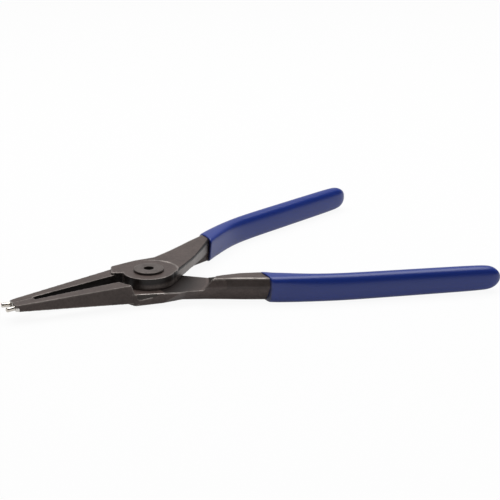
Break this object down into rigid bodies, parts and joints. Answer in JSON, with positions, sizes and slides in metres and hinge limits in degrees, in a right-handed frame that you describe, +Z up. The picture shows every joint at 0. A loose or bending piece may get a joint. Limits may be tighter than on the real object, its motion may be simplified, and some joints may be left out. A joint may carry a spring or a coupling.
{
  "type": "external circlip pliers",
  "caption": "External circlip pliers with straight round tips, dark phosphated halves, a flat rivet pivot and blue dipped handle sleeves.",
  "frame": {"origin": "on the pivot axis at the underside of the rivet, which is the surface that the pliers lie on", "axes": "+X from the tips towards the handles, +Y towards the upper half's handle, +Z up along the pivot"},
  "size_m": [0.2249, 0.1492, 0.0138],
  "materials": {
    "phosphated_steel": "satin",
    "rivet_steel": "satin",
    "tip_steel": "polished",
    "blue_dip": "gloss"
  },
  "bodies": {
    "lower_body": {"lower_half": "phosphated_steel", "pivot_rivet": "rivet_steel", "lower_tip": "tip_steel", "lower_sleeve": "blue_dip"},
    "upper_body": {"upper_half": "phosphated_steel", "upper_tip": "tip_steel", "upper_sleeve": "blue_dip"}
  },
  "joints": [
    {"name": "handle_squeeze", "type": "hinge", "parent": "lower_body", "child": "upper_body", "pos_m": [0, 0, 0.0069], "axis": [0, 0, -1], "range_deg": [0, 30]}
  ]
}
